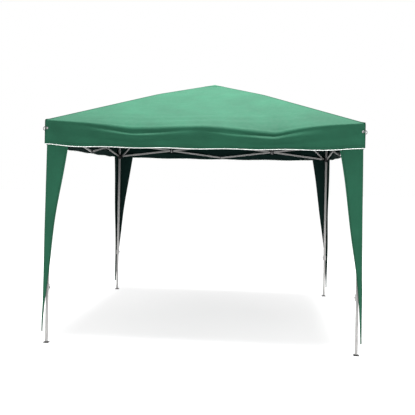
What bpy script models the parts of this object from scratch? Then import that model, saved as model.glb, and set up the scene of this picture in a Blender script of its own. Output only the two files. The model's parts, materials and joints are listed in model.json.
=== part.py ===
"""Pop up gazebo: a square fabric canopy on four telescoping legs, with a scissor truss on each side.

Units are metres, +Z is up, and the origin is on the ground under the peak. The front faces -Y.
The frame folds like a concertina: the scissors pull the four legs together while the sliders drop, and
the two-piece roof arms fold down between the legs. Every moving piece has its origin on its own pivot.
The hub hangs on the front left corner's arms, so that corner's peak arm turns about its knee.
"""

import math

import bmesh
import bpy
from mathutils import Matrix, Vector

# Canopy and leg covers
CANOPY_HALF = 1.500
EAVE_Z = 2.130
HEM_Z = 1.900
KNEE_HALF = 0.570
KNEE_Z = 2.510
PEAK_Z = 2.700
FABRIC = 0.002
COVER_PLANE = 1.497
COVER_THICK = 0.003
COVER_WIDTHS = ((1.8997, 0.206), (1.260, 0.120), (0.750, 0.060), (0.440, 0.034), (0.115, 0.012))

# Legs
LEG_AT = 1.460
OUTER_HALF = 0.0140
OUTER_BORE = 0.0126
OUTER_BOTTOM = 0.500
OUTER_TOP = 2.100
COLLAR_HALF = 0.0190
COLLAR_HEIGHT = 0.060
INNER_HALF = 0.0120
INNER_BORE = 0.0106
INNER_TOP = 0.950
FOOT_HALF = 0.0250
FOOT_THICK = 0.004
TUBE_CORNER = 0.003

# Plastic brackets and sliders
BLOCK_HALF = 0.0200
BRACKET_BOTTOM = 2.045
BRACKET_TOP = 2.118
BRACKET_POCKET = 0.0143
SLIDER_BELOW = 0.038
SLIDER_ABOVE = 0.022
SLIDER_BORE = 0.0145
LUG_HALF_HEIGHT = 0.012
GAP = 0.0003

# Scissor bars
TOP_PIVOT_Z = 2.075
SLIDE_PIVOT_Z = 1.900
PIVOT_OUT = 0.045
BAR_HALF_HEIGHT = 0.011
BAR_HALF_THICK = 0.005
BAR_WALL = 0.0012
BAR_LAYER = 0.006
BAR_END = 0.013

# Roof arms, in the diagonal plane of each leg
ARM_OUT = 0.070
ARM_PIVOT_Z = 2.090
ARM_KNEE_R = 0.800
ARM_KNEE_Z = 2.480
HUB_R = 0.050
HUB_Z = 2.635
STRUT_ALONG = 0.6785
ARM_HALF_HEIGHT = 0.010
ARM_HALF_THICK = 0.004
ARM_LAYER = 0.005
HUB_CORE = 0.030

# Push buttons
BUTTON_RADIUS = 0.0058
BUTTON_HOLE = 0.0064
BUTTON_LENGTH = 0.012
LOCK_NOSE = 0.0185
LOCK_Z = 1.876
HEIGHT_NOSE = 0.0165
HEIGHT_Z = 0.530

UP = Vector((0, 0, 1))
DIAGONAL = Vector((1, 1, 0)).normalized()

# Each corner: its name and the signs of its X and Y.
CORNERS = (
    ("front_left", -1, -1),
    ("front_right", 1, -1),
    ("back_right", 1, 1),
    ("back_left", -1, 1),
)
# Each side: its name, the corner it starts at, the corner it ends at, and its outward direction.
SIDES = (
    ("front", (-1, -1), (1, -1), Vector((0, -1, 0))),
    ("right", (1, -1), (1, 1), Vector((1, 0, 0))),
    ("left", (-1, -1), (-1, 1), Vector((-1, 0, 0))),
    ("back", (-1, 1), (1, 1), Vector((0, 1, 0))),
)


def clear_scene():
    for obj in list(bpy.data.objects):
        bpy.data.objects.remove(obj, do_unlink=True)


def material(name, color, roughness, metallic=0.0):
    """The named Principled material, made the first time it is asked for."""
    found = bpy.data.materials.get(name)
    if found:
        return found
    made = bpy.data.materials.new(name)
    made.use_nodes = True
    shader = made.node_tree.nodes["Principled BSDF"]
    shader.inputs["Base Color"].default_value = (*color, 1)
    shader.inputs["Roughness"].default_value = roughness
    shader.inputs["Metallic"].default_value = metallic
    return made


def green_fabric():
    return material("green_fabric", (0.045, 0.24, 0.13), 0.75)


def grey_steel():
    return material("grey_steel", (0.62, 0.62, 0.60), 0.4, 0.3)


def black_plastic():
    return material("black_plastic", (0.02, 0.02, 0.022), 0.5)


def rounded_rectangle(half_a, half_b, radius, steps=2):
    """The outline's points, counterclockwise, each corner an arc of the given radius."""
    points = []
    for quarter, (sign_a, sign_b) in enumerate(((1, 1), (-1, 1), (-1, -1), (1, -1))):
        for step in range(steps + 1):
            angle = math.radians(90 * (quarter + step / steps))
            points.append(
                (
                    sign_a * (half_a - radius) + radius * math.cos(angle),
                    sign_b * (half_b - radius) + radius * math.sin(angle),
                )
            )
    return points


def circle(radius, count=16):
    return [
        (radius * math.cos(2 * math.pi * i / count), radius * math.sin(2 * math.pi * i / count))
        for i in range(count)
    ]


def solid(name, points, faces, finish, place=None):
    """A closed mesh object with outward faces. Its origin is at the place matrix."""
    build = bmesh.new()
    corners = [build.verts.new(point) for point in points]
    for face in faces:
        build.faces.new([corners[i] for i in face])
    bmesh.ops.recalc_face_normals(build, faces=build.faces)
    mesh = bpy.data.meshes.new(name)
    build.to_mesh(mesh)
    build.free()
    mesh.materials.append(finish)
    mesh.shade_smooth()
    mesh.set_sharp_from_angle(angle=math.radians(35))
    obj = bpy.data.objects.new(name, mesh)
    bpy.context.scene.collection.objects.link(obj)
    obj.matrix_world = place or Matrix()
    return obj


def loft(name, rings, finish, place=None, hollow=False):
    """Skins rings of equal length in turn. A hollow loft joins its last ring to its first."""
    count = len(rings[0])
    points = [point for ring in rings for point in ring]
    faces = []
    for row in range(len(rings) if hollow else len(rings) - 1):
        low = row * count
        high = (row + 1) % len(rings) * count
        for i in range(count):
            j = (i + 1) % count
            faces.append((low + i, low + j, high + j, high + i))
    if not hollow:
        faces.append(tuple(range(count)))
        faces.append(tuple(range(len(points) - count, len(points))))
    return solid(name, points, faces, finish, place)


def stacked(outlines):
    """Rings at rising or falling heights from (outline, z) pairs."""
    return [[(x, y, z) for x, y in outline] for outline, z in outlines]


def square_rings(levels):
    return stacked([(rounded_rectangle(half, half, TUBE_CORNER), z) for half, z in levels])


def round_rings(levels):
    return stacked([(circle(radius), z) for radius, z in levels])


def axes_at(origin, x_axis, y_axis):
    """A matrix at origin with the given local X and Y directions."""
    z_axis = x_axis.cross(y_axis)
    turn = Matrix((x_axis, y_axis, z_axis)).transposed()
    return Matrix.Translation(origin) @ turn.to_4x4()


def box(name, size, place):
    """A helper block centred on its matrix, left out of the finished gazebo."""
    x, y, z = (side / 2 for side in size)
    points = [(a * x, b * y, c * z) for a in (-1, 1) for b in (-1, 1) for c in (-1, 1)]
    faces = ((0, 1, 3, 2), (4, 5, 7, 6), (0, 1, 5, 4), (2, 3, 7, 6), (0, 2, 6, 4), (1, 3, 7, 5))
    return helper(solid(name, points, faces, black_plastic(), place))


def helper(obj):
    obj.hide_render = True
    obj.display_type = "WIRE"
    return obj


def combine(target, other, operation):
    modifier = target.modifiers.new(other.name, "BOOLEAN")
    modifier.operation = operation
    modifier.solver = "EXACT"
    modifier.object = other


def add_lug(target, name, base, direction, across, reach, offset, thick):
    """A flat lug that reaches out from base along direction, set off to one side by offset."""
    start, end = reach
    middle = base + direction * (start + end) / 2 + across * offset
    place = axes_at(middle, direction, across)
    combine(target, box(name, (end - start, thick, 2 * LUG_HALF_HEIGHT), place), "UNION")


def cut_button_hole(target, name, centre, inward):
    rings = round_rings(((BUTTON_HOLE, 0.0), (BUTTON_HOLE, 0.024)))
    hole = loft(name, rings, black_plastic(), button_place(centre, inward))
    combine(target, helper(hole), "DIFFERENCE")


def button_place(origin, inward):
    """A button's local Z points the way it sticks out."""
    return axes_at(origin, UP.cross(inward), UP)


def inward_diagonal(sign_x, sign_y):
    return Vector((-sign_x, -sign_y, 0)).normalized()


def arm_side(sign_x, sign_y):
    """The side of the diagonal plane that holds the peak arm and the strut.

    On the two side corners it is the side that the hub drifts to in mid-fold, so the arms part there.
    """
    across = UP.cross(inward_diagonal(sign_x, sign_y))
    return -across if across.dot(DIAGONAL) < -0.5 else across


def corner_at(sign_x, sign_y, z):
    return Vector((sign_x * LEG_AT, sign_y * LEG_AT, z))


def sides_at(corner):
    """Each side that meets the corner: its name, direction away from it, outward way and end."""
    for name, start, end, outward in SIDES:
        run = Vector((end[0] - start[0], end[1] - start[1], 0)).normalized()
        if corner == start:
            yield name, run, outward, "start"
        if corner == end:
            yield name, -run, outward, "end"


def make_bar(name, start, end, across, offset, halves, pivot_share=0.0):
    """A flat tube from pivot to pivot, open at both ends, set off across its plane.

    Its origin lies pivot_share of the way from start to end, on the pivot that it turns about.
    """
    half_height, half_thick = halves
    run = end - start
    first = -BAR_END - run.length * pivot_share
    last = BAR_END + run.length * (1 - pivot_share)
    outer = rounded_rectangle(half_thick, half_height, 0.002)
    inner = rounded_rectangle(half_thick - BAR_WALL, half_height - BAR_WALL, 0.001)
    ends = ((outer, first), (outer, last), (inner, last), (inner, first))
    rings = [[(x, a, b) for a, b in outline] for outline, x in ends]
    origin = start + run * pivot_share + across * offset
    return loft(name, rings, grey_steel(), axes_at(origin, run.normalized(), across), True)


def make_leg(corner, sign_x, sign_y):
    base = Matrix.Translation(corner_at(sign_x, sign_y, 0))
    inward = Vector((-sign_x, 0, 0))
    collar_top = OUTER_BOTTOM + COLLAR_HEIGHT
    levels = (
        (OUTER_BORE, OUTER_BOTTOM),
        (COLLAR_HALF, OUTER_BOTTOM),
        (COLLAR_HALF, collar_top),
        (OUTER_HALF, collar_top),
        (OUTER_HALF, OUTER_TOP),
        (OUTER_BORE, OUTER_TOP),
    )
    outer = loft("outer_leg_" + corner, square_rings(levels), grey_steel(), base, True)
    mouth = corner_at(sign_x, sign_y, HEIGHT_Z) + inward * OUTER_HALF * 0.8
    cut_button_hole(outer, "height_hole_" + corner, mouth, inward)
    levels = (
        (FOOT_HALF, 0.0),
        (FOOT_HALF, FOOT_THICK),
        (INNER_HALF, FOOT_THICK),
        (INNER_HALF, INNER_TOP),
        (INNER_BORE, INNER_TOP),
        (INNER_BORE, 2 * FOOT_THICK),
    )
    loft("inner_leg_" + corner, square_rings(levels), grey_steel(), base)


def make_bracket(corner, sign_x, sign_y):
    """The fixed plastic cap on the leg, with a lug for each side's bar and one for the roof arm."""
    base = corner_at(sign_x, sign_y, 0)
    levels = (
        (BRACKET_POCKET, OUTER_TOP + GAP),
        (BRACKET_POCKET, BRACKET_BOTTOM),
        (BLOCK_HALF, BRACKET_BOTTOM),
        (BLOCK_HALF, BRACKET_TOP - 0.006),
        (BLOCK_HALF - 0.003, BRACKET_TOP),
    )
    bracket = loft("corner_bracket_" + corner, square_rings(levels), black_plastic(), Matrix.Translation(base))
    for side, run, outward, end in sides_at((sign_x, sign_y)):
        layer = -BAR_LAYER if end == "start" else BAR_LAYER
        pivot = corner_at(sign_x, sign_y, TOP_PIVOT_Z)
        add_lug(bracket, f"bracket_lug_{corner}_{side}", pivot, run, outward, (0.0165, 0.058), layer, 0.008)
    pivot = corner_at(sign_x, sign_y, ARM_PIVOT_Z)
    away = inward_diagonal(sign_x, sign_y)
    across = arm_side(sign_x, sign_y)
    add_lug(bracket, "arm_lug_" + corner, pivot, away, across, (0.0225, 0.083), ARM_LAYER, 0.006)


def make_slider(corner, sign_x, sign_y):
    """The sliding bracket on the leg, with its lugs and the hole for its lock button."""
    centre = corner_at(sign_x, sign_y, SLIDE_PIVOT_Z)
    levels = (
        (SLIDER_BORE, -SLIDER_BELOW),
        (BLOCK_HALF, -SLIDER_BELOW),
        (BLOCK_HALF, SLIDER_ABOVE),
        (SLIDER_BORE, SLIDER_ABOVE),
    )
    slider = loft("slider_" + corner, square_rings(levels), black_plastic(), Matrix.Translation(centre), True)
    for side, run, outward, end in sides_at((sign_x, sign_y)):
        layer = BAR_LAYER if end == "start" else -BAR_LAYER
        add_lug(slider, f"slider_lug_{corner}_{side}", centre, run, outward, (0.0165, 0.058), layer, 0.008)
    away = inward_diagonal(sign_x, sign_y)
    across = arm_side(sign_x, sign_y)
    add_lug(slider, "strut_lug_" + corner, centre, away, across, (0.0225, 0.083), -ARM_LAYER, 0.006)
    inward = Vector((-sign_x, 0, 0))
    mouth = corner_at(sign_x, sign_y, LOCK_Z) + inward * OUTER_HALF * 0.8
    cut_button_hole(slider, "lock_hole_" + corner, mouth, inward)


def make_button(name, sign_x, sign_y, z, nose):
    inward = Vector((-sign_x, 0, 0))
    origin = corner_at(sign_x, sign_y, z) + inward * nose
    levels = (
        (BUTTON_RADIUS, 0.0),
        (BUTTON_RADIUS, BUTTON_LENGTH * 0.85),
        (BUTTON_RADIUS * 0.72, BUTTON_LENGTH),
    )
    loft(name, round_rings(levels), black_plastic(), button_place(origin, inward))


def make_side(side, start, end, outward):
    """Two crossed pairs of bars. a and c lie in the outer layer, b and d in the inner one."""
    run = Vector((end[0] - start[0], end[1] - start[1], 0)).normalized()
    first = corner_at(*start, 0) + run * PIVOT_OUT
    last = corner_at(*end, 0) - run * PIVOT_OUT
    middle = (first + last) / 2
    top = UP * TOP_PIVOT_Z
    low = UP * SLIDE_PIVOT_Z
    halves = (BAR_HALF_HEIGHT, BAR_HALF_THICK)
    bars = {
        "a": (first + top, middle + low, BAR_LAYER, 0.0),
        "b": (first + low, middle + top, -BAR_LAYER, 0.5),
        "c": (last + low, middle + top, BAR_LAYER, 0.5),
        "d": (last + top, middle + low, -BAR_LAYER, 1.0),
    }
    for letter, (near, far, layer, share) in bars.items():
        make_bar(f"{side}_bar_{letter}", near, far, outward, layer, halves, share)


def make_roof_arms(corner, sign_x, sign_y):
    away = inward_diagonal(sign_x, sign_y)
    across = arm_side(sign_x, sign_y)
    arm_start = corner_at(sign_x, sign_y, ARM_PIVOT_Z) + away * ARM_OUT
    knee = -away * ARM_KNEE_R + UP * ARM_KNEE_Z
    hub = -away * HUB_R + UP * HUB_Z
    strut_start = corner_at(sign_x, sign_y, SLIDE_PIVOT_Z) + away * ARM_OUT
    strut_end = arm_start + (knee - arm_start).normalized() * STRUT_ALONG
    halves = (ARM_HALF_HEIGHT, ARM_HALF_THICK)
    peak_share = 1.0 if corner == "front_left" else 0.0
    make_bar("roof_arm_" + corner, arm_start, knee, across, -ARM_LAYER, halves)
    make_bar("peak_arm_" + corner, hub, knee, across, ARM_LAYER, halves, peak_share)
    make_bar("strut_" + corner, strut_start, strut_end, across, ARM_LAYER, halves)


def make_hub():
    """The round plastic hub under the peak, with a lug for each peak arm and a short centre post."""
    levels = (
        (0.012, -0.110),
        (0.012, -0.040),
        (HUB_CORE, -0.036),
        (HUB_CORE, 0.018),
        (0.034, 0.022),
        (0.034, 0.030),
        (0.020, 0.042),
    )
    hub = loft("peak_hub", round_rings(levels), black_plastic(), Matrix.Translation(UP * HUB_Z))
    for corner, sign_x, sign_y in CORNERS:
        away = -inward_diagonal(sign_x, sign_y)
        across = arm_side(sign_x, sign_y)
        add_lug(hub, "hub_lug_" + corner, UP * HUB_Z, away, across, (0.012, 0.062), -ARM_LAYER, 0.006)


def square(half, z):
    return [(half * a, half * b, z) for a, b in ((1, 1), (-1, 1), (-1, -1), (1, -1))]


def make_canopy():
    """Roof and valance in one sewn cover, open underneath."""
    inside = CANOPY_HALF - FABRIC
    flat_top = 0.004
    rings = [
        square(flat_top, PEAK_Z),
        square(KNEE_HALF, KNEE_Z),
        square(CANOPY_HALF, EAVE_Z),
        square(CANOPY_HALF, HEM_Z),
        square(inside, HEM_Z),
        square(inside, EAVE_Z - FABRIC),
        square(KNEE_HALF, KNEE_Z - FABRIC),
        square(flat_top, PEAK_Z - FABRIC),
    ]
    loft("canopy", rings, green_fabric())


def make_leg_cover(corner, sign_x, sign_y):
    """A strip of fabric folded round the corner of the leg, its two wings narrowing downwards."""
    rings = []
    for z, width in COVER_WIDTHS:
        outline = (
            (0, 0),
            (width, 0),
            (width, COVER_THICK),
            (COVER_THICK, COVER_THICK),
            (COVER_THICK, width),
            (0, width),
        )
        rings.append([(sign_x * (COVER_PLANE - a), sign_y * (COVER_PLANE - b), z) for a, b in outline])
    loft("leg_cover_" + corner, rings, green_fabric())


def main():
    clear_scene()
    make_canopy()
    make_hub()
    for side, start, end, outward in SIDES:
        make_side(side, start, end, outward)
    for corner, sign_x, sign_y in CORNERS:
        make_leg(corner, sign_x, sign_y)
        make_bracket(corner, sign_x, sign_y)
        make_slider(corner, sign_x, sign_y)
        make_button("lock_button_" + corner, sign_x, sign_y, LOCK_Z, LOCK_NOSE)
        make_button("height_button_" + corner, sign_x, sign_y, HEIGHT_Z, HEIGHT_NOSE)
        make_roof_arms(corner, sign_x, sign_y)
        make_leg_cover(corner, sign_x, sign_y)


main()
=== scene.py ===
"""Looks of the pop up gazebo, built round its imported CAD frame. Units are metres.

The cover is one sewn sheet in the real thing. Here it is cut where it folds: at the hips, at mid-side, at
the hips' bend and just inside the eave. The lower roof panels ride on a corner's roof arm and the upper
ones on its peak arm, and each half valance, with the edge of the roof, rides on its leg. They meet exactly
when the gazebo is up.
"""

import json
import math

import bpy
import numpy as np
from mathutils import Matrix, Vector


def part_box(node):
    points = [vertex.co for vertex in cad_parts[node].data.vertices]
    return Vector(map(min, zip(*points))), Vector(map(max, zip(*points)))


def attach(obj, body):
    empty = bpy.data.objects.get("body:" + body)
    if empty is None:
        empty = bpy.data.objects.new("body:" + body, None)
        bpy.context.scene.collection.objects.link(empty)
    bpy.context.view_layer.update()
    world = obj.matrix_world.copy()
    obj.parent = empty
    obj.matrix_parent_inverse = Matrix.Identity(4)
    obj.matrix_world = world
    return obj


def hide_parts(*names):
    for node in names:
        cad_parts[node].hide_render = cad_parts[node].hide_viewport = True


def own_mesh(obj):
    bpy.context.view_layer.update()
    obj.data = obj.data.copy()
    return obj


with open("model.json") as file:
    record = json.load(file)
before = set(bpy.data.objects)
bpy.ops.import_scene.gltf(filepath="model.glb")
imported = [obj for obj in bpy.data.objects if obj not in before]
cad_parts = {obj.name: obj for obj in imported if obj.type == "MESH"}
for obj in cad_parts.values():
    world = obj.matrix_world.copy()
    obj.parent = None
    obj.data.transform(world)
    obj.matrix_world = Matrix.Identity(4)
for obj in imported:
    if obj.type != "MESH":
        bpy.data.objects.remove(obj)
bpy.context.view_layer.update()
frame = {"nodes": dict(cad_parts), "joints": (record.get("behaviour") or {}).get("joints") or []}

CANOPY_LOW, CANOPY_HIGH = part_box("canopy")
UP = Vector((0, 0, 1))

# Frame sizes: a leg's place and travel, and the roof arms' pins, out along a corner's diagonal
LEG_LOW, LEG_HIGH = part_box("outer_leg_front_right")
LEG_AT = (LEG_LOW.x + LEG_HIGH.x) / 2
ARM_KNEE_R = 0.800
ARM_KNEE_Z = 2.480
HUB_R = 0.050
HUB_Z = 2.635
STRUT_ALONG = 0.6785

# Canopy: half sizes and heights of its eave, hip bend and peak, and how its cloth hangs between them
HALF = CANOPY_HIGH.x
HEM_Z = CANOPY_LOW.z
PEAK_Z = CANOPY_HIGH.z
VALANCE_HEIGHT = 0.230
EAVE_Z = HEM_Z + VALANCE_HEIGHT
KNEE_HALF = 0.570
KNEE_Z = 2.510
KNEE_SOFT = 0.035
PEAK_BLUNT = 0.0115
EAVE_SAG = 0.035
EAVE_DIP = 0.036
DIP_AT = 0.46
HEM_DROOP = 0.022
VALANCE_INSET = 0.002

# Canopy: its thickness, seams and trims
CLOTH = 0.0012
PIPING_RADIUS = 0.0032
STITCH_RADIUS = 0.0011
CORNER_SEAM_RADIUS = 0.0016
PATCH_HALF = 0.115
EYELET_DROP = 0.078
# Across a hip: distance from its line, and rise in steps of HIP_RISE
HIP_PROFILE = (
    (-0.009, -1.0),
    (-0.007, 0.3),
    (-0.0035, 0.8),
    (0.0, 1.2),
    (0.0035, 0.8),
    (0.007, 0.3),
    (0.009, -1.0),
)
HIP_RISE = 0.0012

# Canopy: distances out to its cuts and seam ends
BAND_HALF = 1.380
KNEE_SUM = ARM_KNEE_R * math.sqrt(2)
PEAK_GAP = 0.004
SEAM_START = 0.10
SEAM_END = HALF - 0.005

# Canopy: how finely a half valance, a roof panel, a hip seam and the peak patch are divided
VALANCE_STEPS = 25
TURN_STEPS = 5
BAND_STEPS = 8
SIDE_STEPS = 49
PANEL_STEPS = (33, 25)
SEAM_STEPS = 40
PATCH_STEPS = 25

# Cut sizes of the sheets: width and length, and area where the cut is not a rectangle
LOWER_PANEL = (1.38, 0.88)
LOWER_PANEL_AREA = 0.685
UPPER_PANEL = (0.57, 1.19)
UPPER_PANEL_AREA = 0.330

# Leg covers
COVER_HALF = 1.4885
COVER_TOP = 1.935
COVER_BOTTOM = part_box("leg_cover_front_left")[0].z
COVER_WIDE = 0.216
COVER_NARROW = 0.012
COVER_TAPER = 1.40
COVER_LEAN = 0.013
COVER_STEPS = (61, 25)
COVER_HEM_RADIUS = 0.0018

# Bars and arms: how far they lie off the line of their pins, their rivets, and half the size of their ends
BAR_LAYER = 0.006
BAR_RIVET_HALF = 0.0118
BAR_END = (0.0055, 0.0115)
ARM_LAYER = 0.005
ARM_RIVET_HALF = 0.0098
ARM_END = (0.0045, 0.0105)
PLUG_REACH = 0.0122
DISC_RADIUS = 0.0145
DISC_HALF = 0.0009

# Camera: distance from the middle, degrees round it, turn and roll, height, lens in mm, vertical shift
CAMERA_DISTANCE = 7.23
CAMERA_AROUND = -4.43
CAMERA_TURN = -4.95
CAMERA_ROLL = 1.10
CAMERA_HEIGHT = 1.590
CAMERA_LENS = 53.393
CAMERA_RISE = -0.06747

CORNERS = {
    "front_left": (-1, -1),
    "front_right": (1, -1),
    "back_right": (1, 1),
    "back_left": (-1, 1),
}
# Each side: outward direction, direction along it, and the corners at its low and high end.
SIDES = {
    "front": ((0, -1), (1, 0), "front_left", "front_right"),
    "right": ((1, 0), (0, 1), "front_right", "back_right"),
    "left": ((-1, 0), (0, 1), "front_left", "back_left"),
    "back": ((0, 1), (1, 0), "back_left", "back_right"),
}
JOINTS = {joint["name"]: joint for joint in frame["joints"]}


# ---------------------------------------------------------------- materials


class Nodes:
    """A new Principled material and the few steps that every finish here is built from."""

    def __init__(self, name, roughness, **sockets):
        self.material = bpy.data.materials.new(name)
        self.material.use_nodes = True
        self.tree = self.material.node_tree
        self.shader = self.tree.nodes["Principled BSDF"]
        self.shader.inputs["Roughness"].default_value = roughness
        for socket, value in sockets.items():
            self.shader.inputs[socket.replace("_", " ")].default_value = value
        self.place = self.tree.nodes.new("ShaderNodeTexCoord").outputs["Object"]

    def link(self, source, target):
        self.tree.links.new(source, target)

    def node(self, kind, **settings):
        made = self.tree.nodes.new(kind)
        for key, value in settings.items():
            setattr(made, key, value)
        return made

    def stretched(self, scale):
        mapping = self.node("ShaderNodeMapping")
        mapping.inputs["Scale"].default_value = scale
        self.link(self.place, mapping.inputs["Vector"])
        return mapping.outputs["Vector"]

    def noise(self, scale, detail=3.0, stretch=(1, 1, 1)):
        made = self.node("ShaderNodeTexNoise")
        made.inputs["Scale"].default_value = scale
        made.inputs["Detail"].default_value = detail
        self.link(self.stretched(stretch), made.inputs["Vector"])
        return made.outputs["Fac"]

    def wave(self, direction, scale):
        made = self.node("ShaderNodeTexWave", bands_direction=direction)
        made.inputs["Scale"].default_value = scale
        self.link(self.place, made.inputs["Vector"])
        return made.outputs["Fac"]

    def math(self, operation, first, second):
        made = self.node("ShaderNodeMath", operation=operation)
        for socket, value in zip(made.inputs, (first, second)):
            if isinstance(value, (int, float)):
                socket.default_value = value
            else:
                self.link(value, socket)
        return made.outputs[0]

    def ramp(self, factor, *stops):
        """A colour ramp from (position, colour) stops."""
        made = self.node("ShaderNodeValToRGB")
        while len(made.color_ramp.elements) < len(stops):
            made.color_ramp.elements.new(0.5)
        for element, (position, color) in zip(made.color_ramp.elements, stops):
            element.position = position
            element.color = (*color, 1)
        self.link(factor, made.inputs["Fac"])
        return made.outputs["Color"]

    def bump(self, height, distance, strength=1.0, below=None):
        made = self.node("ShaderNodeBump")
        made.inputs["Distance"].default_value = distance
        made.inputs["Strength"].default_value = strength
        self.link(height, made.inputs["Height"])
        if below is not None:
            self.link(below, made.inputs["Normal"])
        return made.outputs["Normal"]

    def rough(self, factor, low, high):
        spread = self.node("ShaderNodeMapRange")
        spread.inputs["To Min"].default_value = low
        spread.inputs["To Max"].default_value = high
        self.link(factor, spread.inputs["Value"])
        self.link(spread.outputs["Result"], self.shader.inputs["Roughness"])

    def finish(self, color, normal):
        self.link(color, self.shader.inputs["Base Color"])
        self.link(normal, self.shader.inputs["Normal"])
        return self.material


def shade(color, amount):
    return tuple(channel * amount for channel in color)


def woven_cloth(name, color, sheen, specular=0.12):
    """Polyester: a fine plain weave, soft cloudy colour, and a slightly crumpled hand."""
    cloth = Nodes(name, 0.72, Sheen_Weight=sheen, Sheen_Roughness=0.45, Specular_IOR_Level=specular)
    clouds = cloth.noise(3.2, 4.0)
    threads = cloth.math("ADD", cloth.wave("X", 190.0), cloth.wave("Y", 190.0))
    threads = cloth.math("ADD", threads, cloth.wave("Z", 190.0))
    crumple = cloth.noise(26.0, 5.0, (1, 1, 0.6))
    tint = cloth.ramp(clouds, (0.25, shade(color, 0.86)), (0.75, shade(color, 1.12)))
    soft = cloth.bump(cloth.noise(4.5, 2.0, (1, 1, 1.6)), 0.012, 0.35)
    below = cloth.bump(crumple, 0.0022, 0.5, soft)
    cloth.rough(crumple, 0.62, 0.82)
    return cloth.finish(tint, cloth.bump(threads, 0.00025, 0.5, below))


def coated_steel(name, color):
    """Light powder coat: fine orange peel, faint long rub marks and a little dirt."""
    steel = Nodes(name, 0.36, Metallic=0.35, Coat_Weight=0.15, Coat_Roughness=0.25)
    peel = steel.noise(420.0, 2.0)
    rubs = steel.noise(9.0, 6.0, (9, 9, 1.2))
    tint = steel.ramp(rubs, (0.2, shade(color, 0.72)), (0.48, color), (0.9, shade(color, 1.1)))
    steel.rough(rubs, 0.3, 0.5)
    return steel.finish(tint, steel.bump(peel, 0.0002, 0.35))


def moulded_plastic(name, color, roughness=0.48):
    """Black nylon or rubber with a fine moulded grain and paler scuffs."""
    plastic = Nodes(name, roughness, Specular_IOR_Level=0.45)
    grain = plastic.noise(900.0, 2.0)
    scuffs = plastic.noise(38.0, 5.0)
    tint = plastic.ramp(scuffs, (0.35, color), (0.62, shade(color, 1.5)), (0.8, shade(color, 2.6)))
    plastic.rough(scuffs, roughness - 0.1, roughness + 0.15)
    return plastic.finish(tint, plastic.bump(grain, 0.0002, 0.4))


def plated_zinc(name, dark, light):
    """Zinc plating: a fine spangle between a dark and a light grey."""
    zinc = Nodes(name, 0.3, Metallic=0.9)
    spangle = zinc.noise(160.0, 3.0)
    tint = zinc.ramp(spangle, (0.3, (dark, dark, dark)), (0.7, (light, light, light)))
    return zinc.finish(tint, zinc.bump(spangle, 0.0001, 0.3))


def stitched_tape(name, color, scale):
    """Binding tape or piping: fine ribs, and a little soil."""
    tape = Nodes(name, 0.7, Sheen_Weight=0.04, Sheen_Roughness=0.5, Specular_IOR_Level=0.12)
    ribs = tape.math("ADD", tape.wave("X", scale), tape.wave("Y", scale))
    soil = tape.noise(12.0, 4.0)
    tint = tape.ramp(soil, (0.3, shade(color, 0.84)), (0.7, color))
    tape.rough(soil, 0.6, 0.8)
    return tape.finish(tint, tape.bump(ribs, 0.0008, 0.7))


GREEN = (0.0115, 0.076, 0.042)
OUTSIDE = woven_cloth("green_polyester", GREEN, 0.04)
INSIDE = woven_cloth("dark_backing", (0.0046, 0.0155, 0.0135), 0.0, 0.03)
SEAM = stitched_tape("green_seam_tape", shade(GREEN, 0.85), 260.0)
WHITE = stitched_tape("white_piping", (0.90, 0.94, 0.91), 320.0)
STEEL = coated_steel("grey_powder_coat", (0.34, 0.335, 0.33))
BLACK = moulded_plastic("black_nylon", (0.012, 0.012, 0.013))
RUBBER = moulded_plastic("black_rubber", (0.016, 0.016, 0.016), 0.7)
ZINC = plated_zinc("zinc_rivet", 0.36, 0.58)
HOOK_ZINC = plated_zinc("zinc_hook", 0.07, 0.16)


# ---------------------------------------------------------------- mesh helpers


def new_piece(name, points, faces, finishes, smooth_angle=40.0):
    mesh = bpy.data.meshes.new(name)
    mesh.from_pydata([tuple(point) for point in points], [], faces)
    mesh.update()
    for finish in finishes:
        mesh.materials.append(finish)
    mesh.shade_smooth()
    mesh.set_sharp_from_angle(angle=math.radians(smooth_angle))
    obj = bpy.data.objects.new(name, mesh)
    bpy.context.scene.collection.objects.link(obj)
    return obj


def cloth_sheet(name, grid, up, finishes=None):
    """A thin closed shell on a grid of points (rows, columns, 3). up is a way its outside faces."""
    rows, columns = grid.shape[:2]
    across = np.gradient(grid, axis=1)
    along = np.gradient(grid, axis=0)
    normal = np.cross(across, along)
    length = np.linalg.norm(normal, axis=2, keepdims=True)
    normal = normal / np.maximum(length, 1e-12)
    if (normal * np.array(up)).sum() < 0:
        normal = -normal
        grid = grid[:, ::-1]
        normal = normal[:, ::-1]
    outer = grid.reshape(-1, 3)
    inner = (grid - normal * CLOTH).reshape(-1, 3)
    count = rows * columns
    faces = []
    inside = []
    for i in range(rows - 1):
        for j in range(columns - 1):
            a = i * columns + j
            quad = (a, a + 1, a + columns + 1, a + columns)
            faces.append(quad)
            inside.append(0)
            faces.append(tuple(count + k for k in reversed(quad)))
            inside.append(1)
    rim = [(0, j) for j in range(columns)]
    rim += [(i, columns - 1) for i in range(1, rows)]
    rim += [(rows - 1, j) for j in range(columns - 2, -1, -1)]
    rim += [(i, 0) for i in range(rows - 2, 0, -1)]
    rim = [i * columns + j for i, j in rim]
    for a, b in zip(rim, rim[1:] + rim[:1]):
        faces.append((b, a, count + a, count + b))
        inside.append(0)
    piece = new_piece(name, np.vstack((outer, inner)), faces, finishes or (OUTSIDE, INSIDE), 55.0)
    piece.data.polygons.foreach_set("material_index", inside)
    return piece


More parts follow.
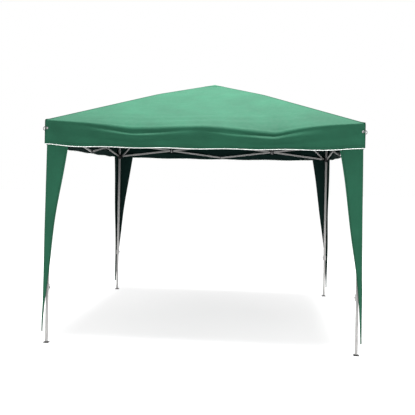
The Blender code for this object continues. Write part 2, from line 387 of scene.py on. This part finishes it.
def tube_along(name, path, radius, finish, sides=8):
    """A round tube through the points of path, closed at both ends."""
    path = np.array(path)
    tangent = np.gradient(path, axis=0)
    tangent /= np.linalg.norm(tangent, axis=1, keepdims=True)
    points = []
    for point, ahead in zip(path, tangent):
        side = np.cross(ahead, (0, 0, 1))
        side /= np.linalg.norm(side)
        over = np.cross(side, ahead)
        for k in range(sides):
            angle = 2 * math.pi * k / sides
            points.append(point + radius * (math.cos(angle) * side + math.sin(angle) * over))
    faces = []
    for i in range(len(path) - 1):
        for k in range(sides):
            a = i * sides + k
            b = i * sides + (k + 1) % sides
            faces.append((a, a + sides, b + sides, b))
    faces.append(tuple(range(sides)))
    faces.append(tuple(reversed(range(len(points) - sides, len(points)))))
    return new_piece(name, points, faces, (finish,))


def ring_faces(rings, count):
    """Faces between stacked rings of count points each, closed at both ends."""
    faces = [
        (i * count + k, i * count + (k + 1) % count, (i + 1) * count + (k + 1) % count, (i + 1) * count + k)
        for i in range(rings - 1)
        for k in range(count)
    ]
    faces.append(tuple(reversed(range(count))))
    faces.append(tuple(range((rings - 1) * count, rings * count)))
    return faces


def turned(outline, place, sides=20):
    """Points and faces of a shape turned about local Z from (radius, height) pairs, closed at its ends."""
    points = []
    for radius, height in outline:
        for k in range(sides):
            angle = 2 * math.pi * k / sides
            points.append(place @ Vector((radius * math.cos(angle), radius * math.sin(angle), height)))
    return points, ring_faces(len(outline), sides)


def squared(levels, place, corner=0.004, steps=4):
    """Points and faces of a rounded-square shape from (half X, half Y, height) levels."""
    points = []
    for half_x, half_y, height in levels:
        radius = min(corner, half_x, half_y)
        for quarter, (sign_x, sign_y) in enumerate(((1, 1), (-1, 1), (-1, -1), (1, -1))):
            for step in range(steps + 1):
                angle = math.radians(90 * (quarter + step / steps))
                x = sign_x * (half_x - radius) + radius * math.cos(angle)
                y = sign_y * (half_y - radius) + radius * math.sin(angle)
                points.append(place @ Vector((x, y, height)))
    return points, ring_faces(len(levels), 4 * (steps + 1))


def joined(name, shapes, finish):
    """One piece from several (points, faces) shapes."""
    points = []
    faces = []
    for more_points, more_faces in shapes:
        start = len(points)
        points.extend(more_points)
        faces.extend(tuple(start + i for i in face) for face in more_faces)
    return new_piece(name, points, faces, (finish,))


def facing(origin, direction):
    """A matrix at origin whose local Z points along direction."""
    return Matrix.Translation(origin) @ Vector(direction).to_track_quat("Z", "Y").to_matrix().to_4x4()


def axes_at(origin, x_axis, y_axis):
    """A matrix at origin with the given local X and Y directions."""
    turn = Matrix((x_axis, y_axis, x_axis.cross(y_axis))).transposed()
    return Matrix.Translation(origin) @ turn.to_4x4()


def set_up(piece, body):
    """Puts a piece on its body."""
    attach(piece, body)


# ---------------------------------------------------------------- canopy


def ridge(value, middle, width):
    """A smooth bump, 1 at middle and fading to nothing about two widths away."""
    return np.exp(-(((value - middle) / width) ** 2))


def side_point(out, along, m, s, z):
    """A point of one side: m out from the middle, s along the side, at height z."""
    return out[0] * m + along[0] * s, out[1] * m + along[1] * s, z


def roof_line(m):
    """Height of the hip at distance m from the peak along a side's direction, its bend rounded."""
    reaches = (0.0, KNEE_HALF, HALF)
    heights = (PEAK_Z, KNEE_Z, EAVE_Z)
    rounded = sum(np.interp(m + shift, reaches, heights) for shift in (-KNEE_SOFT, 0.0, KNEE_SOFT)) / 3
    tip = np.interp(m, (0.0, KNEE_SOFT), (PEAK_Z, PEAK_Z - PEAK_BLUNT))
    return np.where(m < KNEE_SOFT, tip, rounded)


def dip_shape(share):
    """A broad hollow either side of mid-side, drawn to a point where the cloth is tucked."""
    away = np.abs(share) - DIP_AT
    return 0.72 * np.exp(-((away / 0.25) ** 2)) + 0.60 * np.exp(-np.sqrt(away**2 + 0.0003) / 0.09)


def roof_point(out, along, m, share):
    """A point of the roof on one side: m out from the peak, share of the way from mid-side to the hip.

    place is the same share counted along +X or +Y, so that panels either side of a line agree on it, and
    side is a number of each side's own, so that no two sides wrinkle alike.
    """
    s = m * share
    place = share * (along[0] + along[1])
    side = out[0] + 2 * out[1]
    slack = 1 - share**2
    sag = EAVE_SAG * slack * (m / HALF) ** 1.6
    uneven = 1 - 0.50 * np.tanh(5.0 * place * np.sign(side))
    dip = EAVE_DIP * uneven * dip_shape(share) * slack * (m / HALF) ** 7
    pull = 0.0030 * np.sin(9.0 * place + 2.5 * m + side) * slack * np.minimum(m / HALF, 1.0)
    wrinkle = 0.0035 * np.sin(52.0 * m + 5.0 * place + side) * ridge(m, 1.33, 0.13) * slack
    z = roof_line(m) - sag - dip + pull + wrinkle
    return np.stack(side_point(out, along, m, s, z), axis=-1)


def crease(climb, s, spot, lean, depth):
    """A sharp V shaped tuck in the cloth under the eave, its point at spot along the side."""
    away = abs(s - spot)
    return -depth * math.exp(-(((climb - 0.80 - lean * away) / 0.05) ** 2) - (away / 0.30) ** 2)


def loose_share(share):
    """How loose the cloth is at this share of the half side, 1 where the edge hangs lowest."""
    return ridge(abs(share), DIP_AT, 0.30)


def valance_bulge(out, climb, s, share):
    """How far the valance stands out from its flat plane."""
    slack = 1 - share**2
    loose = loose_share(share) * slack
    roll = 0.015 * ridge(climb, 0.68, 0.15) * loose
    tuck = -0.013 * ridge(climb, 0.93, 0.09) * loose
    low_tuck = -0.007 * ridge(climb, 0.44, 0.10) * ridge(abs(share), 0.62, 0.30) * slack
    phase = 1.3 * out[0] + 2.1 * out[1]
    ripple = 0.005 * math.sin(6.0 * s + phase) * (1 - climb) ** 1.5 * slack
    fine = 0.0022 * math.sin(17.0 * s + 2.0 * phase + 4.0 * climb) * slack
    turn = math.copysign(1, phase)
    creases = crease(climb, s, spot=0.62 * turn, lean=0.22, depth=0.013)
    creases += crease(climb, s, spot=-0.30 * turn, lean=0.30, depth=0.006)
    gather = -0.008 * ridge(abs(share), 0.955, 0.022) * ridge(climb, 0.55, 0.22)
    return roll + tuck + low_tuck + ripple + fine + creases + gather


def valance_profile(out, along, share):
    """Points up the valance, over the eave and in to the roof panels' edge, at one share of the side."""
    s = HALF * share
    slack = 1 - share**2
    near_corner = ridge(abs(share), 1.0, 0.12)
    round_off = 0.010 + 0.040 * slack * (0.55 + 0.45 * loose_share(share))
    droop = HEM_DROOP * (0.35 * slack + 0.65 * (1 - near_corner))
    hem = HEM_Z - droop + 0.003 * math.sin(11.0 * s + out[1])
    eave = roof_point(out, along, np.array(HALF), np.array(share))[2]
    plane = HALF - VALANCE_INSET
    points = []
    for climb in np.linspace(0.0, 1.0, VALANCE_STEPS):
        z = hem + (eave - round_off - hem) * climb
        m = plane + valance_bulge(out, climb, s, share)
        points.append(side_point(out, along, m, s, z))
    top = m
    for turn in np.linspace(0.2, 1.0, TURN_STEPS + 1):
        angle = math.radians(68) * turn
        m = top - round_off * (1 - math.cos(angle))
        z = eave - round_off * (1 - math.sin(angle))
        points.append(side_point(out, along, m, s, z))
    edge_m = m
    edge_z = z
    base_z = roof_point(out, along, np.array(edge_m), np.array(share))[2]
    for m in np.linspace(edge_m, BAND_HALF, BAND_STEPS + 1)[1:]:
        point = roof_point(out, along, np.array(m), np.array(share))
        point[2] += (edge_z - base_z) * ((m - BAND_HALF) / (edge_m - BAND_HALF)) ** 2
        points.append(tuple(point))
    return points


def make_half_valance(side, out, along, corner, sign):
    """Half a side's valance with the edge of the roof, from the corner to mid-side."""
    shares = sign * np.linspace(0.0, 1.0, SIDE_STEPS)
    grid = np.array([valance_profile(out, along, float(share)) for share in shares])
    name = f"{side}_{corner}"
    body = "leg_" + corner
    sheet = cloth_sheet("valance_" + name, grid, (*out, 0.5))
    hem = grid[:, 0] - np.array((0, 0, PIPING_RADIUS * 0.6))
    piping = tube_along("hem_piping_" + name, hem, PIPING_RADIUS, WHITE)
    rows = []
    for label, row in (("low", 1), ("high", 3)):
        line = grid[:, row] + np.array((*out, 0)) * 0.0006
        rows.append(tube_along(f"hem_stitches_{label}_{name}", line, STITCH_RADIUS, SEAM, 5))
    if side in ("front", "back"):
        seam = grid[-1, :VALANCE_STEPS]
        rows.append(tube_along("corner_seam_" + corner, seam, CORNER_SEAM_RADIUS, SEAM, 6))
    for piece in (sheet, piping, *rows):
        set_up(piece, body)
        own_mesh(piece)
    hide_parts("canopy")


def knee_edge(share):
    """Distance out to the cut across the hips' bend: a straight line square to the hip."""
    return KNEE_SUM / (1 + share)


def make_roof_panels(side, out, along, corner, sign):
    """One side's two roof panels that end at a corner's hip: below the hip's bend, and above it.
    """
    shares = np.linspace(0.0, 1.0, PANEL_STEPS[0])
    knees = knee_edge(shares)
    eaves = np.full_like(shares, BAND_HALF)
    peaks = np.full_like(shares, PEAK_GAP)
    panels = (
        ("lower", "roof_arm_", knees, eaves, (HALF, EAVE_Z), LOWER_PANEL, LOWER_PANEL_AREA),
        ("upper", "peak_arm_", peaks, knees, (0.0, PEAK_Z), UPPER_PANEL, UPPER_PANEL_AREA),
    )
    for label, arm, lows, highs, (end_half, end_z), flat, area in panels:
        rows = []
        for share, low, high in zip(shares, lows, highs):
            m = np.linspace(low, high, PANEL_STEPS[1])
            rows.append(roof_point(out, along, m, np.full_like(m, sign * share)))
        piece = cloth_sheet(f"roof_{label}_{side}_{corner}", np.array(rows), (0, 0, 1))
        set_up(piece, arm + corner)
        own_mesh(piece)
        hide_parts("canopy")


def make_hip_seam(corner, sign_x, sign_y, label, body, low, high):
    """A stretch of the raised seam along the hip."""
    across = np.array((-sign_y, sign_x, 0)) / math.sqrt(2)
    lift = np.array((0, 0, HIP_RISE))
    lines = []
    for m in np.linspace(low, high, SEAM_STEPS):
        centre = np.array((sign_x * m, sign_y * m, float(roof_line(np.array(m)))))
        lines.append([centre + across * offset + lift * rise for offset, rise in HIP_PROFILE])
    seam = cloth_sheet(f"hip_seam_{label}_{corner}", np.array(lines), (0, 0, 1), (SEAM, INSIDE))
    set_up(seam, body)


def make_peak_patch():
    """The square reinforcement sewn over the peak, held up by the hub."""
    steps = np.linspace(-1.0, 1.0, PATCH_STEPS)
    grid = np.zeros((PATCH_STEPS, PATCH_STEPS, 3))
    for i, a in enumerate(steps):
        for j, b in enumerate(steps):
            m = PATCH_HALF * max(abs(a), abs(b))
            rise = 0.0022 if m < PATCH_HALF * 0.97 else 0.0004
            grid[i, j] = (PATCH_HALF * a, PATCH_HALF * b, float(roof_line(np.array(m))) + rise)
    patch = cloth_sheet("peak_patch", grid, (0, 0, 1))
    edge = []
    inset = PATCH_HALF - 0.007
    height = float(roof_line(np.array(inset))) + 0.003
    around = 96
    for k in range(around + 1):
        turn = 4 * (k % around) / around
        side = int(turn)
        step = 2 * (turn - side) - 1
        x, y = ((step, -1), (1, step), (-step, 1), (-1, -step))[side]
        edge.append((inset * x, inset * y, height))
    stitches = tube_along("peak_patch_stitches", edge, STITCH_RADIUS, SEAM, 5)
    for piece in (patch, stitches):
        set_up(piece, "peak_hub")


def make_canopy():
    """The whole cover: two halves a side, three stretches of seam a hip, and the patch at the peak."""
    for side, (out, along, low_corner, high_corner) in SIDES.items():
        for corner, sign in ((low_corner, -1), (high_corner, 1)):
            make_half_valance(side, out, along, corner, sign)
            make_roof_panels(side, out, along, corner, sign)
    for corner, (sign_x, sign_y) in CORNERS.items():
        knee = knee_edge(1.0)
        make_hip_seam(corner, sign_x, sign_y, "lower", "roof_arm_" + corner, knee, BAND_HALF)
        make_hip_seam(corner, sign_x, sign_y, "upper", "peak_arm_" + corner, SEAM_START, knee)
        make_hip_seam(corner, sign_x, sign_y, "edge", "leg_" + corner, BAND_HALF, SEAM_END)
    make_peak_patch()


# ---------------------------------------------------------------- leg covers


def cover_width(z):
    """Width of one wing of a leg cover at height z."""
    climb = np.clip((z - COVER_BOTTOM) / (HEM_Z - COVER_BOTTOM), 0, 1)
    return COVER_NARROW + (COVER_WIDE - COVER_NARROW) * climb**COVER_TAPER


def make_leg_cover(corner, sign_x, sign_y):
    """A tapered strip folded round the leg's corner, with a hemmed edge on each wing."""
    # Two of the covers lie a little further in, so that neighbours are not in one plane when folded.
    inset = 0.002 if sign_x * sign_y > 0 else 0.0
    rows = []
    for z in np.linspace(COVER_BOTTOM, COVER_TOP, COVER_STEPS[0]):
        width = cover_width(z)
        drop = (HEM_Z - z) / (HEM_Z - COVER_BOTTOM)
        row = []
        for part in np.linspace(-1.0, 1.0, COVER_STEPS[1]):
            reach = abs(part) ** 1.15 * width
            curl = 0.006 * math.sin(5.2 * z + 1.7 * sign_x) * abs(part) * drop * (1 - drop) * 4
            soft = 0.004 * math.exp(-((reach / 0.008) ** 2))
            plane = COVER_HALF + COVER_LEAN * drop - curl - inset
            if part < 0:
                x, y = plane - soft - reach, plane - soft
            else:
                x, y = plane - soft, plane - soft - reach
            row.append((sign_x * x, sign_y * y, z))
        rows.append(row)
    grid = np.array(rows)
    cover = cloth_sheet("leg_cover_cloth_" + corner, grid, (sign_x, sign_y, 0))
    outward = np.array((sign_x, sign_y, 0)) * 0.0008
    hems = [
        tube_along(f"leg_cover_hem_{label}_{corner}", grid[:, column] + outward, COVER_HEM_RADIUS, SEAM, 5)
        for label, column in (("first", 1), ("second", -2))
    ]
    for piece in (cover, *hems):
        set_up(piece, "leg_" + corner)
        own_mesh(piece)
    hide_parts("leg_cover_" + corner)


# ---------------------------------------------------------------- frame trim


def pin(centre, axis, half_length):
    """A rivet along axis with a domed head at each end."""
    head = 0.0016
    outline = (
        (0.0020, -half_length - head),
        (0.0048, -half_length - 0.5 * head),
        (0.0058, -half_length),
        (0.0034, -half_length),
        (0.0034, half_length),
        (0.0058, half_length),
        (0.0048, half_length + 0.5 * head),
        (0.0020, half_length + head),
    )
    return turned(outline, facing(centre, axis))


def washer(centre, axis):
    """A plastic spacer disc between two bars."""
    edge = DISC_HALF * 0.5
    outline = (
        (DISC_RADIUS - edge, -DISC_HALF),
        (DISC_RADIUS, -DISC_HALF + edge),
        (DISC_RADIUS, DISC_HALF - edge),
        (DISC_RADIUS - edge, DISC_HALF),
    )
    return turned(outline, facing(centre, axis))


def make_side_trim(side):
    """Rivets, crossing joints, end plugs and middle spacer of one side's four bars."""
    out = Vector((*SIDES[side][0], 0))
    first = "frame_fold" if side == "front" else f"{side}_bar_a_fold"
    top_start = Vector(JOINTS[first]["pos_m"])
    cross_start = Vector(JOINTS[f"{side}_bar_b_cross"]["pos_m"])
    low_mid = Vector(JOINTS[f"{side}_bar_d_end_pin"]["pos_m"])
    cross_end = Vector(JOINTS[f"{side}_bar_c_cross"]["pos_m"])
    top_end = 2 * low_mid - top_start
    top_end.z = top_start.z
    top_mid = Vector((low_mid.x, low_mid.y, top_start.z))
    low_start = Vector((top_start.x, top_start.y, low_mid.z))
    low_end = Vector((top_end.x, top_end.y, low_mid.z))
    pins = {
        "a": (top_start, cross_start, low_mid),
        "b": (low_start, top_mid),
        "c": (cross_end, low_end),
        "d": (top_end,),
    }
    for letter, places in pins.items():
        shapes = [pin(place, out, BAR_RIVET_HALF) for place in places]
        piece = joined(f"rivets_{side}_bar_{letter}", shapes, ZINC)
        set_up(piece, f"{side}_bar_{letter}")
    for letter, place in (("a", cross_start), ("c", cross_end)):
        make_crossing(f"{side}_bar_{letter}", place, out)
    ends = {
        "a": (top_start, low_mid, BAR_LAYER),
        "b": (low_start, top_mid, -BAR_LAYER),
        "c": (low_end, top_mid, BAR_LAYER),
        "d": (top_end, low_mid, -BAR_LAYER),
    }
    for letter, (near, far, offset) in ends.items():
        make_plugs(f"{side}_bar_{letter}", near + out * offset, far + out * offset, out, BAR_END)
    cap = joined(f"mid_cap_{side}", [washer(top_mid, out)], BLACK)
    set_up(cap, f"{side}_bar_b")


def make_crossing(bar, place, out):
    """The plastic joint round two crossed bars: a disc between them, and a block and a clip on each side."""
    shapes = [washer(place, out)]
    clips = []
    for way in (out, -out):
        block = axes_at(place, UP.cross(way), UP)
        levels = ((0.0230, 0.0300, 0.0112), (0.0230, 0.0300, 0.0150), (0.0210, 0.0280, 0.0170))
        shapes.append(squared(levels, block, 0.008))
        levels = ((0.0045, 0.0260, 0.0168), (0.0045, 0.0260, 0.0182), (0.0035, 0.0250, 0.0188))
        clips.append(squared(levels, block, 0.0015))
    piece = joined("crossing_" + bar, shapes, BLACK)
    set_up(piece, bar)
    clip = joined("crossing_clips_" + bar, clips, ZINC)
    set_up(clip, bar)


def make_plugs(bar, near, far, across, halves):
    """A rounded plastic cap over each open end of a flat tube. halves is half its thickness and height."""
    thick, tall = halves
    run = (far - near).normalized()
    shapes = []
    for point, way in ((near, -run), (far, run)):
        tip = axes_at(point + way * PLUG_REACH, across, way.cross(across))
        levels = ((thick, tall, -0.006), (thick, tall, 0.0008), (thick - 0.0012, tall - 0.0012, 0.0020))
        shapes.append(squared(levels, tip, 0.0022))
    piece = joined("end_plugs_" + bar, shapes, BLACK)
    set_up(piece, bar)


def make_foot_pad(corner, sign_x, sign_y):
    """The rubber pad round the foot plate, with a low collar round the inner leg."""
    base = Vector((sign_x * LEG_AT, sign_y * LEG_AT, 0))
    levels = (
        (0.0245, 0.0245, 0.0),
        (0.0258, 0.0258, 0.0012),
        (0.0258, 0.0258, 0.0048),
        (0.0240, 0.0240, 0.0060),
        (0.0165, 0.0165, 0.0068),
        (0.0150, 0.0150, 0.0110),
        (0.0135, 0.0135, 0.0120),
    )
    pad = joined("foot_pad_" + corner, [squared(levels, Matrix.Translation(base), 0.006)], RUBBER)
    set_up(pad, "inner_leg_" + corner)


def make_arm_trim(corner, sign_x, sign_y):
    """Rivets and end plugs of one corner's roof arm, peak arm and strut."""
    inward = Vector((-sign_x, -sign_y, 0)).normalized()
    # Across the corner's diagonal, to the side of its peak arm and strut: front right and back left share it.
    across = UP.cross(inward)
    if across.dot(Vector((1, 1, 0)).normalized()) < -0.5:
        across = -across
    root = Vector(JOINTS[f"roof_arm_{corner}_fold"]["pos_m"])
    foot = Vector(JOINTS[f"strut_{corner}_pivot"]["pos_m"])
    knee = -inward * ARM_KNEE_R + UP * ARM_KNEE_Z
    hub = -inward * HUB_R + UP * HUB_Z
    meet = root + (knee - root).normalized() * STRUT_ALONG
    groups = {
        "roof_arm_": (root, knee, meet),
        "peak_arm_": (hub,),
        "strut_": (foot,),
    }
    for prefix, places in groups.items():
        shapes = [pin(place, across, ARM_RIVET_HALF) for place in places]
        piece = joined(f"rivets_{prefix}{corner}", shapes, ZINC)
        set_up(piece, prefix + corner)
    side = across * ARM_LAYER
    make_plugs("roof_arm_" + corner, root - side, knee - side, across, ARM_END)
    make_plugs("peak_arm_" + corner, hub + side, knee + side, across, ARM_END)
    make_plugs("strut_" + corner, foot + side, meet + side, across, ARM_END)


def make_corner_fastener(corner, sign_x, sign_y):
    """The small metal eyelet, tab and hook that hold the valance's corner to the frame."""
    z = EAVE_Z - EYELET_DROP
    eye = Vector((sign_x * (HALF - 0.020), sign_y * HALF, z))
    ring = ((0.0045, -0.003), (0.0110, -0.002), (0.0115, 0.0012), (0.0060, 0.0028), (0.0040, 0.0010))
    eyelet = joined("corner_eyelet_" + corner, [turned(ring, facing(eye, (0, sign_y, 0)))], ZINC)
    path = []
    for turn in np.linspace(-0.55, 1.15, 25) * math.pi:
        reach = HALF - VALANCE_INSET + 0.016 * math.cos(turn)
        climb = 0.017 * math.sin(turn) - 0.006
        path.append((sign_x * reach, sign_y * (HALF + 0.003), z + climb))
    hook = tube_along("corner_hook_" + corner, path, 0.0034, HOOK_ZINC)
    tab = Matrix.Translation((sign_x * (HALF - 0.010), sign_y * (HALF + 0.0005), z + 0.020))
    tab = tab @ Matrix.Rotation(math.radians(90), 4, "X")
    levels = ((0.0090, 0.0110, -0.0015), (0.0090, 0.0110, 0.0015), (0.0080, 0.0100, 0.0022))
    strap = joined("corner_tab_" + corner, [squared(levels, tab, 0.003)], SEAM)
    for piece, slot in ((eyelet, "grey_steel"), (hook, "grey_steel"), (strap, "green_fabric")):
        set_up(piece, "leg_" + corner)


def finish_cad_nodes():
    """Gives each CAD node that stays in view its material."""
    plastic = ("corner_bracket", "slider", "lock_button", "height_button", "peak_hub")
    for name, node in frame["nodes"].items():
        finish = BLACK if name.startswith(plastic) else STEEL
        if name.startswith(("canopy", "leg_cover")):
            finish = OUTSIDE
        for slot in node.material_slots:
            slot.material = finish


# ---------------------------------------------------------------- stage


def make_camera():
    """A normal lens at eye level, a little right of the middle, level but for a slight roll."""
    data = bpy.data.cameras.new("camera")
    data.sensor_width = 36.0
    data.lens = CAMERA_LENS
    data.shift_y = CAMERA_RISE
    data.clip_end = 200.0
    camera = bpy.data.objects.new("camera", data)
    bpy.context.scene.collection.objects.link(camera)
    angle = math.radians(CAMERA_AROUND)
    across = -math.sin(angle) * CAMERA_DISTANCE
    back = -math.cos(angle) * CAMERA_DISTANCE
    camera.location = (across, back, CAMERA_HEIGHT)
    look = Matrix.Rotation(math.radians(-CAMERA_TURN), 4, "Z") @ Matrix.Rotation(math.radians(90), 4, "X")
    tilt = Matrix.Rotation(math.radians(CAMERA_ROLL), 4, "Z")
    camera.rotation_euler = (look @ tilt).to_euler()
    bpy.context.scene.camera = camera


def area_light(name, place, aim, size, power, spread):
    data = bpy.data.lights.new(name, "AREA")
    data.shape = "SQUARE"
    data.size = size
    data.energy = power
    data.spread = math.radians(spread)
    lamp = bpy.data.objects.new(name, data)
    bpy.context.scene.collection.objects.link(lamp)
    lamp.location = place
    lamp.rotation_euler = (Vector(aim) - Vector(place)).to_track_quat("-Z", "Y").to_euler()


def make_stage():
    """A pale floor and world, a large soft light overhead and one from the front."""
    reach = 60.0
    corners = [(-reach, -reach, 0), (reach, -reach, 0), (reach, reach, 0), (-reach, reach, 0)]
    floor_look = Nodes("pale_floor", 0.85, Emission_Color=(1, 1, 1, 1), Emission_Strength=0.44)
    grain = floor_look.noise(0.7, 3.0)
    tint = floor_look.ramp(grain, (0.3, (0.58, 0.58, 0.58)), (0.7, (0.61, 0.61, 0.61)))
    finish = floor_look.finish(tint, floor_look.bump(grain, 0.001, 0.1))
    floor = new_piece("floor", corners, [(0, 1, 2, 3)], (finish,))
    world = bpy.data.worlds.new("world")
    world.use_nodes = True
    world.node_tree.nodes["Background"].inputs["Color"].default_value = (1.0, 1.0, 1.0, 1)
    world.node_tree.nodes["Background"].inputs["Strength"].default_value = 1.0
    bpy.context.scene.world = world
    bpy.context.scene.view_settings.view_transform = "Standard"
    area_light("key", place=(0.3, -0.8, 8.6), aim=(0, 0, 2.3), size=4.0, power=610.0, spread=90)
    area_light("front", place=(4.0, -9.0, 6.0), aim=(0, 0, 1.4), size=4.0, power=210.0, spread=180)


make_camera()
make_stage()
finish_cad_nodes()
make_canopy()
for corner_name, (x_sign, y_sign) in CORNERS.items():
    make_leg_cover(corner_name, x_sign, y_sign)
    make_foot_pad(corner_name, x_sign, y_sign)
    make_arm_trim(corner_name, x_sign, y_sign)
    make_corner_fastener(corner_name, x_sign, y_sign)
for side_name in SIDES:
    make_side_trim(side_name)

bpy.context.view_layer.update()
